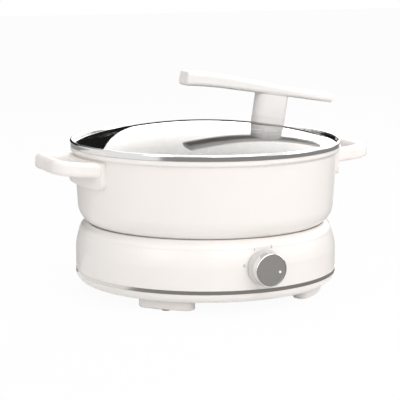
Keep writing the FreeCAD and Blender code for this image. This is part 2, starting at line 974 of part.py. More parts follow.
# Sensor spring, wound between the cup's floor and the cap
spring = new_body("sensor_spring")
spring_sketch = circle(
    sketch_on(spring, "XZ_Plane"), "spring_wire", "spring_middle", CUP_FLOOR + " + spring_wire"
)
helix = spring.newObject("PartDesign::AdditiveHelix", "sensor_spring_helix")
helix.Profile = spring_sketch
helix.ReferenceAxis = (spring_sketch, ["V_Axis"])
helix.Mode = 2
helix.setExpression("Height", bound("%s - %s - 2 * spring_wire - free_gap" % (CAP_BOTTOM, CUP_FLOOR)))
helix.setExpression("Turns", bound("spring_turns"))
spring.Tip = helix
keep(spring)

# Rotary switch behind the dial: its case with a threaded neck and three tabs, the nut and the shaft
SWITCH_FRONT = "(base_radius + seat_proud - seat_back)"
SWITCH_BACK = "(base_radius + seat_proud - seat_back - switch_depth)"
NECK_END = "(base_radius + seat_proud + neck_length)"
switch = new_body("switch_body")
pad(
    switch,
    rectangle(
        sketch_on(switch, "XZ_Plane", SWITCH_BACK),
        "-switch_width / 2",
        "switch_width / 2",
        "knob_height - switch_width / 2",
        "knob_height + switch_width / 2",
    ),
    "switch_depth",
)
pad(
    switch,
    circle(sketch_on(switch, "XZ_Plane", SWITCH_FRONT), "neck_radius", "0", "knob_height"),
    NECK_END + " - " + SWITCH_FRONT,
)
TAB_LEVEL = "(knob_height - switch_width / 4)"
for column in ("-tab_spacing / 2", "0", "tab_spacing / 2"):
    pad(
        switch,
        rectangle(
            sketch_on(switch, "XZ_Plane", SWITCH_BACK),
            column + " - tab_width / 2",
            column + " + tab_width / 2",
            TAB_LEVEL + " - tab_thickness / 2",
            TAB_LEVEL + " + tab_thickness / 2",
        ),
        "tab_length",
        backwards=True,
    )
pocket(
    switch,
    circle(
        sketch_on(switch, "XZ_Plane", NECK_END), "shaft_radius + running_gap", "0", "knob_height"
    ),
    "shaft_back + 4",
)
keep(switch)

nut = new_body("switch_nut")
nut_sketch = sketch_on(nut, "XZ_Plane", "base_radius + seat_proud")
corners = []
for number in range(6):
    turn = "%d * 1deg" % (60 * number + 30)
    reach = "nut_size / 2 / cos(30 * 1deg)"
    corners.append(("%s * cos(%s)" % (reach, turn), "knob_height + %s * sin(%s)" % (reach, turn)))
corners[1] = ("0", corners[1][1])
corners[4] = ("0", corners[4][1])
outline(nut_sketch, corners)
circle(nut_sketch, "neck_radius + seat_gap", "0", "knob_height")
pad(nut, nut_sketch, "nut_thickness")
keep(nut)

shaft = new_body("switch_shaft")
pad(
    shaft,
    circle(sketch_on(shaft, "XZ_Plane", NECK_END + " - shaft_back"), "shaft_radius", "0", "knob_height"),
    "shaft_back + shaft_front - neck_length - seat_proud",
)
pocket(
    shaft,
    rectangle(
        sketch_on(shaft, "XZ_Plane", "base_radius + shaft_front"),
        "-shaft_radius",
        "shaft_radius",
        "knob_height + shaft_radius - flat_depth",
        "knob_height + shaft_radius + flat_depth",
    ),
    "shaft_front - neck_length - seat_proud - running_gap",
)
keep(shaft)

# Dial knob, turned about its own axis and laid on its side: skirt with hub, bezel, face and dot
FACE_BACK = "(knob_depth - face_recess - face_thickness)"
BEZEL_INNER = "(face_radius - free_gap)"


def on_dial(item):
    place(item, y="-base_radius", z="knob_height", axis=(1, 0, 0), angle="90")
    return keep(item)


on_dial(
    turned(
        "knob_skirt",
        [
            ("knob_radius", "knob_clear"),
            ("knob_radius - knob_taper", "skirt_depth"),
            (BEZEL_INNER + " - fit_gap", "skirt_depth"),
            (BEZEL_INNER + " - fit_gap", FACE_BACK),
            ("0", FACE_BACK),
            ("0", "shaft_front + running_gap"),
            ("shaft_radius + running_gap", "shaft_front + running_gap"),
            ("shaft_radius + running_gap", "neck_length + seat_proud + free_gap"),
            ("hub_radius", "neck_length + seat_proud + free_gap"),
            ("hub_radius", FACE_BACK + " - knob_wall"),
            (BEZEL_INNER + " - fit_gap - knob_wall", FACE_BACK + " - knob_wall"),
            (BEZEL_INNER + " - fit_gap - knob_wall", "skirt_depth - knob_wall"),
            ("knob_radius - knob_wall", "knob_clear"),
        ],
    )
)
on_dial(
    turned(
        "knob_bezel",
        [
            (BEZEL_INNER, "skirt_depth"),
            (BEZEL_INNER + " + 1.5 * bezel_wall", "skirt_depth"),
            ("face_radius + seat_gap + bezel_wall", "knob_depth - bezel_wall"),
            (
                "face_radius + seat_gap + bezel_wall * 0.8",
                "knob_depth - bezel_wall * 0.3",
                "face_radius + seat_gap + bezel_wall * 0.35",
                "knob_depth",
            ),
            ("face_radius + seat_gap", "knob_depth"),
            ("face_radius + seat_gap", FACE_BACK),
            (BEZEL_INNER, FACE_BACK),
        ],
    )
)
face = turned(
    "knob_face",
    [
        ("0", FACE_BACK),
        ("face_radius", FACE_BACK),
        ("face_radius", "knob_depth - face_recess"),
        ("0", "knob_depth - face_recess"),
    ],
)
DOT_X = "dot_middle * cos(dot_angle * 1deg)"
DOT_Y = "-dot_middle * sin(dot_angle * 1deg)"
pocket(
    face,
    circle(
        sketch_on(face, "XY_Plane", "knob_depth - face_recess"), "dot_radius + seat_gap", DOT_X, DOT_Y
    ),
    "dot_depth",
)
on_dial(face)
dot = new_body("knob_dot")
pad(
    dot,
    circle(sketch_on(dot, "XY_Plane", "knob_depth - face_recess - dot_depth"), "dot_radius", DOT_X, DOT_Y),
    "dot_depth + face_recess / 2",
)
on_dial(dot)

# Power inlet at the back: a socket with a curved flange, its pins and its two screws
inlet = new_body("power_inlet")
pad(
    inlet,
    rectangle(
        sketch_on(inlet, "XZ_Plane", "-base_radius - flange_proud"),
        "-inlet_width / 2 - flange_margin",
        "inlet_width / 2 + flange_margin",
        INLET_LOW + " - flange_margin",
        INLET_HIGH + " + flange_margin",
    ),
    "flange_proud * 3",
)
rounded(
    inlet,
    "inlet_corner",
    lambda edge: edge.BoundBox.XLength < 0.01 and edge.BoundBox.ZLength < 0.01,
)
groove(
    inlet,
    rectangle(
        sketch_on(inlet, "XZ_Plane"),
        "0",
        "base_radius + seat_gap",
        "foot_height",
        RIM_TOP,
    ),
)
inlet_case = pad(
    inlet,
    rectangle(
        sketch_on(inlet, "XZ_Plane", "-" + INLET_FACE),
        "-inlet_width / 2",
        "inlet_width / 2",
        INLET_LOW,
        INLET_HIGH,
    ),
    "inlet_proud + inlet_back",
)
pocket(
    inlet,
    rectangle(
        sketch_on(inlet, "XZ_Plane", "-" + INLET_FACE),
        "-inlet_width / 2 + inlet_wall",
        "inlet_width / 2 - inlet_wall",
        INLET_LOW + " + inlet_wall",
        INLET_HIGH + " - inlet_wall",
    ),
    "socket_depth",
    backwards=True,
)
pin_columns = ("-pin_spacing", "0", "pin_spacing")
inlet_bores = sketch_on(inlet, "XZ_Plane", "-" + INLET_FACE)
for column in pin_columns:
    circle(inlet_bores, "pin_radius + seat_gap", column, "inlet_height")
for side in ("", "-"):
    circle(inlet_bores, "screw_radius + fit_gap", side + INLET_SCREW_X, "inlet_height")
pocket(inlet, inlet_bores, "inlet_proud + inlet_back", backwards=True)
keep(inlet)

PIN_BACK = "(base_radius - inlet_back - 6)"
pins = new_body("inlet_pins")
for column in pin_columns:
    pad(
        pins,
        circle(sketch_on(pins, "XZ_Plane", "-" + PIN_BACK), "pin_radius", column, "inlet_height"),
        "pin_length",
        backwards=True,
    )
keep(pins)

inlet_screws = new_body("inlet_screws")
for side in ("", "-"):
    for radius, length, level, backwards in (
        ("screw_radius", "screw_length / 2", "-base_radius - flange_proud", False),
        ("screw_head_radius * 0.8", "screw_head_height", "-base_radius - flange_proud", True),
    ):
        seat = sketch_on(inlet_screws, "XZ_Plane", level)
        circle(seat, radius, side + INLET_SCREW_X, "inlet_height")
        pad(inlet_screws, seat, length, backwards=backwards)
keep(inlet_screws)


def wire_lead(label, points):
    """A wire along straight runs joined by arcs; each point is a place in the base."""
    bend = value("wire_bend")
    corners = [FreeCAD.Vector(*point) for point in points]
    edges = []
    start = corners[0]
    for before, corner, after in zip(corners, corners[1:], corners[2:]):
        inward = (before - corner).normalize()
        outward = (after - corner).normalize()
        half = inward.getAngle(outward) / 2
        tangent = bend / math.tan(half)
        middle = corner + (inward + outward).normalize() * (bend / math.sin(half) - bend)
        edges.append(Part.LineSegment(start, corner + inward * tangent).toShape())
        edges.append(
            Part.Arc(corner + inward * tangent, middle, corner + outward * tangent).toShape()
        )
        start = corner + outward * tangent
    edges.append(Part.LineSegment(start, corners[-1]).toShape())
    spine = Part.Wire(edges)
    section = Part.Wire(
        Part.makeCircle(value("wire_radius"), corners[0], corners[1] - corners[0])
    )
    item = doc.addObject("Part::Feature", label)
    item.Label = label
    item.Shape = spine.makePipeShell([section], True, False)
    return keep(item)


# Wires: inlet to switch, switch to the element's near end, inlet to its far end, and the earth
inlet_y = value(PIN_BACK)
inlet_z = value("inlet_height")
pin_x = value("pin_spacing")
tab_y = -value(SWITCH_BACK) + value("tab_length")
tab_x = value("tab_spacing") / 2
tab_z = value(TAB_LEVEL + " - tab_thickness / 2 - wire_radius - seat_gap")
low_z = value("wire_height")
end_x = value("element_middle * cos(%s)" % ELEMENT_TURN)
end_y = value("element_middle * sin(%s)" % ELEMENT_TURN)
end_z = value(PLATE_BOTTOM + " - terminal_length")
step_out = value("wire_bend * 2.2")
turn_y = value("post_middle * 0.8")
wire_lead(
    "wire_inlet_to_switch",
    [
        (pin_x, inlet_y, inlet_z),
        (pin_x, inlet_y - step_out, inlet_z),
        (pin_x, inlet_y - step_out, low_z),
        (tab_x, tab_y + step_out, low_z),
        (tab_x, tab_y + step_out, tab_z),
        (tab_x, tab_y, tab_z),
    ],
)
wire_lead(
    "wire_switch_to_element",
    [
        (-tab_x, tab_y, tab_z),
        (-tab_x, tab_y + step_out, tab_z),
        (-tab_x, tab_y + step_out, low_z),
        (end_x, -end_y, low_z),
        (end_x, -end_y, end_z),
    ],
)
wire_lead(
    "wire_inlet_to_element",
    [
        (-pin_x, inlet_y, inlet_z),
        (-pin_x, inlet_y - step_out, inlet_z),
        (-pin_x, inlet_y - step_out, low_z),
        (-pin_x, turn_y, low_z),
        (end_x, end_y, low_z),
        (end_x, end_y, end_z),
    ],
)
wire_lead(
    "wire_earth",
    [
        (0, inlet_y, inlet_z),
        (0, inlet_y - step_out, inlet_z),
        (0, inlet_y - step_out, low_z),
        (0, inlet_y - 2.2 * step_out, low_z),
        (0, inlet_y - 2.2 * step_out, value("shield_height")),
    ],
)

# Pot: a thick floor, a round lower corner, a slightly flared wall and a rolled rim with a rebate
DIAGONAL = "sin(45 * 1deg)"
WALL_TOP = "(%s - 2)" % RIM_BOTTOM
INNER_CENTRE = "(pot_lower_radius - pot_wall - pot_inner_corner)"
INNER_LEVEL = "(%s + pot_floor + pot_inner_corner)" % POT_BOTTOM
REBATE_LEVEL = "(%s - rebate_depth)" % POT_TOP
pot = turned(
    "pot_body",
    [
        ("0", POT_BOTTOM),
        (CORNER_CENTRE, POT_BOTTOM),
        (
            "%s + pot_corner * %s" % (CORNER_CENTRE, DIAGONAL),
            "%s - pot_corner * %s" % (CORNER_LEVEL, DIAGONAL),
            "pot_lower_radius",
            CORNER_LEVEL,
        ),
        ("pot_upper_radius", WALL_TOP),
        (
            "pot_upper_radius + 0.5",
            RIM_BOTTOM + " - 0.5",
            "pot_upper_radius + 1.8",
            RIM_BOTTOM,
        ),
        ("rim_radius - 2.2", RIM_BOTTOM),
        ("rim_radius - 0.6", RIM_BOTTOM + " + 0.7", "rim_radius", RIM_BOTTOM + " + 2.3"),
        ("rim_radius", POT_TOP + " - 0.7"),
        ("rim_radius - 0.7", POT_TOP),
        ("rebate_radius", POT_TOP),
        ("rebate_radius", REBATE_LEVEL),
        ("pot_upper_radius - pot_wall", REBATE_LEVEL),
        ("pot_lower_radius - pot_wall", INNER_LEVEL),
        (
            "%s + pot_inner_corner * %s" % (INNER_CENTRE, DIAGONAL),
            "%s - pot_inner_corner * %s" % (INNER_LEVEL, DIAGONAL),
            INNER_CENTRE,
            POT_BOTTOM + " + pot_floor",
        ),
        ("0", POT_BOTTOM + " + pot_floor"),
    ],
)
ROOT_TOP = "(%s - root_drop)" % RIM_BOTTOM
ROOT_BOTTOM = "(%s - root_height)" % ROOT_TOP
RIVET_LEVEL = "(%s - root_height / 2)" % ROOT_TOP
rivet_holes = sketch_on(pot, "YZ_Plane")
for side in ("", "-"):
    circle(rivet_holes, "rivet_radius + running_gap", side + "rivet_spacing / 2", RIVET_LEVEL)
pocket(pot, rivet_holes, "rim_radius * 4", midplane=True)
keep(pot)

# Pot handles: a tilted loop, a root plate that hugs the wall, and bores for the rivets
HANDLE_MIDDLE = "(%s - handle_thickness / 2)" % ROOT_TOP
INNER_HALF = "(handle_half_width - handle_arm)"
INNER_REACH = "(handle_reach - handle_bar)"
ROOT_OUTER = "(pot_upper_radius + root_thickness)"
WALL_LEAN = "((pot_upper_radius - pot_lower_radius) / (%s - %s))" % (WALL_TOP, CORNER_LEVEL)
RIVET_HEAD_BOTTOM = "(%s - rivet_head_radius)" % RIVET_LEVEL
RIVET_WALL = "(pot_lower_radius - pot_wall + %s * (%s - %s))" % (
    WALL_LEAN,
    RIVET_HEAD_BOTTOM,
    CORNER_LEVEL,
)
RIVET_SEAT = "(sqrt(%s^2 - (rivet_spacing / 2 + rivet_head_radius)^2) - fit_gap)" % RIVET_WALL


def loop_outline(sketch, root, reach, half_width, corner):
    """A loop seen from above, open end at the root, with its two outer corners rounded."""
    cut = "%s * (1 - %s)" % (corner, DIAGONAL)
    steps = [("%s - %s" % (reach, corner), "-" + half_width)]
    steps.append(
        (
            "%s - %s" % (reach, cut),
            "%s - %s" % (cut, half_width),
            reach,
            "%s - %s" % (corner, half_width),
        )
    )
    steps.append((reach, "%s - %s" % (half_width, corner)))
    steps.append(
        (
            "%s - %s" % (reach, cut),
            "%s - %s" % (half_width, cut),
            "%s - %s" % (reach, corner),
            half_width,
        )
    )
    steps.append((root, half_width))
    steps.append((root, "-" + half_width))
    outline(sketch, steps)


def on_loop_face(edge):
    """Whether an edge bounds the loop's upper or lower face, away from the root's end."""
    tilt = math.radians(value("handle_tilt"))
    centre = edge.CenterOfMass
    along = centre.x - value("rim_radius")
    above = centre.z - value(HANDLE_MIDDLE)
    height = above * math.cos(tilt) - along * math.sin(tilt)
    out = along * math.cos(tilt) + above * math.sin(tilt)
    on_face = abs(abs(height) - value("handle_thickness") / 2) < 0.01
    return on_face and out > 0.01 - value("handle_root")


for side_name, turn in (("right", "0"), ("left", "180")):
    handle = new_body("pot_handle_" + side_name)
    loop = sketch_on(
        handle, "XY_Plane", HANDLE_MIDDLE, axis=(0, 1, 0), angle="-handle_tilt", along="rim_radius"
    )
    loop_outline(loop, "-handle_root", "handle_reach", "handle_half_width", "handle_corner")
    loop_outline(loop, "handle_gap", INNER_REACH, INNER_HALF, "handle_inner_corner")
    pad(handle, loop, "handle_thickness", midplane=True)
    rounded(handle, "handle_rounding", on_loop_face)
    root = sketch_on(handle, "XY_Plane", ROOT_BOTTOM)
    arc_end = "root_half_angle * 1deg"
    inner_root = "(pot_lower_radius - pot_wall)"
    outline(
        root,
        [
            ("%s * cos(%s)" % (ROOT_OUTER, arc_end), "-%s * sin(%s)" % (ROOT_OUTER, arc_end)),
            (
                ROOT_OUTER,
                "0",
                "%s * cos(%s)" % (ROOT_OUTER, arc_end),
                "%s * sin(%s)" % (ROOT_OUTER, arc_end),
            ),
            ("%s * cos(%s)" % (inner_root, arc_end), "%s * sin(%s)" % (inner_root, arc_end)),
            (
                inner_root,
                "0",
                "%s * cos(%s)" % (inner_root, arc_end),
                "-%s * sin(%s)" % (inner_root, arc_end),
            ),
        ],
    )
    pad(handle, root, "root_height")
    rounded(
        handle,
        "root_corner",
        lambda edge: edge.BoundBox.ZMax < value(ROOT_BOTTOM) + 0.01
        and edge.Length < value(ROOT_OUTER + " - " + inner_root) + 0.01,
    )
    groove(
        handle,
        outline(
            sketch_on(handle, "XZ_Plane"),
            [
                ("0", POT_BOTTOM),
                ("pot_lower_radius + seat_gap", POT_BOTTOM),
                ("pot_lower_radius + seat_gap", CORNER_LEVEL),
                ("pot_upper_radius + seat_gap", WALL_TOP + " - free_gap"),
                ("pot_upper_radius + 2 + seat_gap", RIM_BOTTOM + " - free_gap"),
                ("rim_radius + free_gap", RIM_BOTTOM + " - free_gap"),
                ("rim_radius + free_gap", POT_TOP),
                ("0", POT_TOP),
            ],
        ),
    )
    bores = sketch_on(handle, "YZ_Plane", "pot_lower_radius - pot_wall")
    for row_side in ("", "-"):
        circle(bores, "rivet_radius + running_gap", row_side + "rivet_spacing / 2", RIVET_LEVEL)
    pocket(handle, bores, "pot_wall * 2 + root_thickness * 0.8", backwards=True)
    place(handle, angle=turn)
    keep(handle)

    rivets = new_body("pot_rivets_" + side_name)
    for row_side in ("", "-"):
        pad(
            rivets,
            circle(
                sketch_on(rivets, "YZ_Plane", RIVET_SEAT),
                "rivet_radius",
                row_side + "rivet_spacing / 2",
                RIVET_LEVEL,
            ),
            "pot_wall * 2 + root_thickness * 0.4",
        )
        pad(
            rivets,
            circle(
                sketch_on(rivets, "YZ_Plane", RIVET_SEAT),
                "rivet_head_radius",
                row_side + "rivet_spacing / 2",
                RIVET_LEVEL,
            ),
            "rivet_head_height",
            backwards=True,
        )
    place(rivets, angle=turn)
    keep(rivets)


# Lid: the domed glass and the metal band rolled over its edge
def dome(radius, inside=""):
    """The height of the glass's outer or inner face at a radius from the axis."""
    return "(%s + sqrt((dome_radius%s)^2 - (%s)^2))" % (DOME_CENTRE, inside, radius)


INSIDE = " - glass_thickness"
glass = turned(
    "lid_glass",
    [
        ("0", DOME_TOP),
        ("glass_radius / 2", dome("glass_radius / 2"), "glass_radius", dome("glass_radius")),
        ("glass_radius", dome("glass_radius", INSIDE)),
        (
            "glass_radius / 2",
            dome("glass_radius / 2", INSIDE),
            "0",
            DOME_TOP + INSIDE,
        ),
    ],
)
pocket(
    glass,
    circle(sketch_on(glass, "XY_Plane", DOME_TOP), "glass_hole", "tee_offset"),
    "%s - %s" % (DOME_TOP, POT_TOP),
)
keep(glass)

BAND_TOP = "(%s + band_side + band_bead)" % POT_TOP
LIP_RADIUS = "(band_radius - band_lip)"
LIP_TOP = "(%s - fit_gap)" % dome("glass_radius", INSIDE)
keep(
    turned(
        "lid_band",
        [
            ("band_radius", POT_TOP),
            ("band_radius", POT_TOP + " + band_side"),
            (
                "band_radius - band_lip * 0.15",
                BAND_TOP + " - band_bead * 0.25",
                "band_radius - band_lip / 2",
                BAND_TOP,
            ),
            (
                "band_radius - band_lip * 0.85",
                BAND_TOP + " - band_bead * 0.25",
                LIP_RADIUS,
                POT_TOP + " + band_side",
            ),
            (LIP_RADIUS, dome(LIP_RADIUS) + " + fit_gap"),
            ("glass_radius + fit_gap", dome(LIP_RADIUS) + " + fit_gap"),
            ("glass_radius + fit_gap", LIP_TOP),
            (LIP_RADIUS + " - band_lip * 0.7", LIP_TOP),
            (LIP_RADIUS + " - band_lip * 0.7", LIP_TOP + " - band_sheet"),
            ("rebate_radius - free_gap", LIP_TOP + " - band_sheet"),
            ("rebate_radius - free_gap", POT_TOP),
        ],
    )
)

# Lid handle, in its own frame: origin on the glass, Z along the post, X along the bar
TEE_BASE = dome("tee_offset")


def on_lid(item):
    place(item, x="tee_offset", z=TEE_BASE, axis=(0, 1, 0), angle="tee_tilt")
    return item


def oval(label, low, height, margin="0"):
    body = new_body(label)
    stadium(
        sketch_on(body, "XY_Plane", low),
        "(tee_length - 2 * %s)" % margin,
        "(tee_width - 2 * %s)" % margin,
    )
    pad(body, body.Group[-1], height)
    return body


def screw_bore(body, low, depth):
    return pocket(
        body,
        circle(sketch_on(body, "XY_Plane", low), "lid_screw_radius + fit_gap"),
        depth,
        backwards=True,
    )


gasket_block = oval("lid_gasket_block", "-tee_gasket", "2 * tee_gasket", "seam_depth")
screw_bore(gasket_block, "-tee_gasket", "2 * tee_gasket")
on_lid(gasket_block)
dome_tool = doc.addObject("Part::Sphere", "dome_tool")
dome_tool.setExpression("Radius", bound("dome_radius + seat_gap"))
place(dome_tool, z=DOME_CENTRE)
gasket = doc.addObject("Part::Cut", "lid_gasket")
gasket.Label = "lid_gasket"
gasket.Base = gasket_block
gasket.Tool = dome_tool
keep(gasket)

collar = oval("lid_collar", "tee_gasket", "collar_height")
screw_bore(collar, "tee_gasket", "collar_height")
keep(on_lid(collar))

post = oval("lid_post", "tee_gasket + collar_height", "seam_height", "seam_depth")
stadium(sketch_on(post, "XY_Plane", "tee_gasket + collar_height + seam_height"), "tee_length", "tee_width")
pad(post, post.Group[-1], "post_height - seam_height")
screw_bore(post, "tee_gasket + collar_height", "post_height")
keep(on_lid(post))

BAR_TOP = "(%s + bar_thickness)" % BAR_BOTTOM
bar = new_body("lid_bar")
bar_side = outline(
    sketch_on(bar, "XZ_Plane"),
    [
        ("-bar_inner_reach", BAR_BOTTOM + " - bar_end_drop"),
        (
            "-(bar_inner_reach + bar_flat) / 2",
            BAR_BOTTOM + " - bar_end_drop / 4",
            "-bar_flat",
            BAR_BOTTOM,
        ),
        ("bar_outer_reach", BAR_BOTTOM),
        ("bar_outer_reach", BAR_TOP),
        ("tee_length / 2", BAR_TOP),
        (
            "(tee_length / 2 - bar_flat) / 2",
            BAR_TOP + " + bar_crown * 0.55",
            "-bar_flat",
            BAR_TOP + " + bar_crown",
        ),
        (
            "-(bar_inner_reach + bar_flat) / 2",
            BAR_TOP + " + bar_crown * 1.05",
            "-bar_inner_reach",
            BAR_TOP + " + bar_end_rise",
        ),
    ],
)
pad(bar, bar_side, "bar_width", midplane=True)
rounded(
    bar,
    "bar_rounding",
    lambda edge: abs(abs(edge.CenterOfMass.y) - value("bar_width / 2")) < 0.01
    and edge.BoundBox.XLength > 1,
)
rounded(
    bar,
    "bar_end_rounding",
    lambda edge: edge.BoundBox.XLength < 0.01
    and (
        abs(edge.CenterOfMass.x - value("bar_outer_reach")) < 0.01
        or abs(edge.CenterOfMass.x + value("bar_inner_reach")) < 0.01
    ),
)
screw_bore(bar, BAR_BOTTOM, "lid_screw_grip")
keep(on_lid(bar))

GASKET_LOW = "(glass_thickness + under_gap + under_gasket)"
WASHER_LOW = "(%s + washer_thickness)" % GASKET_LOW
for label, radius, low, height in (
    ("lid_under_gasket", "under_gasket_radius", "-" + GASKET_LOW, "under_gasket"),
    ("lid_washer", "washer_radius", "-" + WASHER_LOW, "washer_thickness"),
):
    ring = new_body(label)
    ring_sketch = circle(sketch_on(ring, "XY_Plane", low), radius)
    circle(ring_sketch, "lid_screw_radius + fit_gap")
    pad(ring, ring_sketch, height)
    keep(on_lid(ring))
lid_screw = turned(
    "lid_screw",
    [
        ("0", "-%s - lid_screw_head_height" % WASHER_LOW),
        ("lid_screw_head", "-%s - lid_screw_head_height" % WASHER_LOW),
        ("lid_screw_head", "-" + WASHER_LOW),
        ("lid_screw_radius", "-" + WASHER_LOW),
        ("lid_screw_radius", BAR_BOTTOM + " + lid_screw_grip - free_gap"),
        ("0", BAR_BOTTOM + " + lid_screw_grip - free_gap"),
    ],
)
keep(on_lid(lid_screw))

# Nothing is written unless every object is sound
doc.recompute()
for item in doc.Objects:
    if "Invalid" in item.State or "Error" in item.State:
        raise RuntimeError("%s: %s" % (item.Label, item.State))
for item in parts:
    if item.Shape.isNull() or not item.Shape.isValid() or not item.Shape.Solids:
        raise RuntimeError("%s has no sound shape" % item.Label)

os.makedirs("parts", exist_ok=True)
for item in parts:
    item.Shape.exportStep(os.path.join("parts", item.Label + ".step"))
    box = item.Shape.BoundBox
    print(
        "%-24s %d solids %9.1f mm3  x %.1f %.1f  y %.1f %.1f  z %.1f %.1f"
        % (
            item.Label,
            len(item.Shape.Solids),
            item.Shape.Volume,
            box.XMin,
            box.XMax,
            box.YMin,
            box.YMax,
            box.ZMin,
            box.ZMax,
        )
    )
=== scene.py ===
import bpy
import math
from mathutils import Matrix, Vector


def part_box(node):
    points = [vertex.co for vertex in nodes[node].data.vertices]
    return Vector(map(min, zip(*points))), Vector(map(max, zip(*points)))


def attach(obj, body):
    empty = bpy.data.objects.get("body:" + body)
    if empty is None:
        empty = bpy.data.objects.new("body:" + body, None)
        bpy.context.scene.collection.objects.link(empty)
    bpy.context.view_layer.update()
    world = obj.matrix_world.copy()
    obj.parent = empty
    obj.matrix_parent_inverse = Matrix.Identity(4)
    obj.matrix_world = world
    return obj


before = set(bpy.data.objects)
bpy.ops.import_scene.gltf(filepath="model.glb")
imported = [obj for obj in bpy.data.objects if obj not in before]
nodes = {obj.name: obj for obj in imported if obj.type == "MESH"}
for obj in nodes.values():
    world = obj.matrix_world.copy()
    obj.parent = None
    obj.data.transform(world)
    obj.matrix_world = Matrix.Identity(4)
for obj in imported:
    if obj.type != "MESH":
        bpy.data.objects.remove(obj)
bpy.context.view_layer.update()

# Camera: where the photograph was taken from, in metres and degrees, and its lens in millimetres
CAMERA_AWAY = 1.7763
CAMERA_ASIDE = -0.006
CAMERA_HEIGHT = 0.3896
CAMERA_TURN = 24.9
CAMERA_DROP = 9.3
CAMERA_LENS = 145.2

# Directions on the floor, as the camera sees them: straight ahead, and to the right
AHEAD = Vector((math.sin(math.radians(CAMERA_TURN)), math.cos(math.radians(CAMERA_TURN)), 0.0))
ASIDE = Vector((AHEAD.y, -AHEAD.x, 0.0))
UP = Vector((0.0, 0.0, 1.0))

# Places on the object that materials and marks follow, in metres
BASE_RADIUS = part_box("base_bottom")[1].x
KNOB_LEVEL = (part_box("knob_face")[0].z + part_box("knob_face")[1].z) / 2

# Noises that several materials share, in lumps per metre
CLOUDS = 9.0
ORANGE_PEEL = 620.0
GLOSS_GRAIN = 900.0
FINE_GRAIN = 2300.0

# Index of refraction of lacquers and mouldings
LACQUER_IOR = 1.49

# Sockets of the Mix node, by what it mixes: the first, the second and the result
MIX_SOCKETS = {"FLOAT": (2, 3, 0), "RGBA": (6, 7, 2)}


# Node building
def darker(colour, share):
    return tuple(channel * share for channel in colour)


class Tree:
    """Short calls that add shader nodes to an emptied node tree and join them."""

    def __init__(self, tree):
        self.tree = tree
        tree.nodes.clear()

    def add(self, kind, **settings):
        node = self.tree.nodes.new("ShaderNode" + kind)
        for key, setting in settings.items():
            setattr(node, key, setting)
        return node

    def feed(self, socket, entry):
        """Gives a socket a number, a colour of three numbers, or another node's output."""
        if isinstance(entry, bpy.types.NodeSocket):
            self.tree.links.new(entry, socket)
        elif isinstance(entry, tuple):
            socket.default_value = (*entry, 1.0)
        else:
            socket.default_value = entry

    def math(self, operation, *entries):
        node = self.add("Math", operation=operation)
        for socket, entry in zip(node.inputs, entries):
            self.feed(socket, entry)
        return node.outputs["Value"]

    def white_to_view(self, plain, white_kind, level):
        """Mixes a plain surface with an even white for camera, glossy and transmission rays."""
        rays = self.add("LightPath").outputs
        seen = self.math("MAXIMUM", rays["Is Camera Ray"], rays["Is Glossy Ray"])
        seen = self.math("MAXIMUM", seen, rays["Is Transmission Ray"])
        white = self.add(white_kind)
        self.feed(white.inputs["Color"], (1.0, 1.0, 1.0))
        self.feed(white.inputs["Strength"], 1.0)
        mixed = self.add("MixShader")
        share = self.math("MULTIPLY", seen, level)
        for socket, entry in zip(mixed.inputs, (share, plain.outputs[0], white.outputs[0])):
            self.feed(socket, entry)
        return mixed.outputs["Shader"]


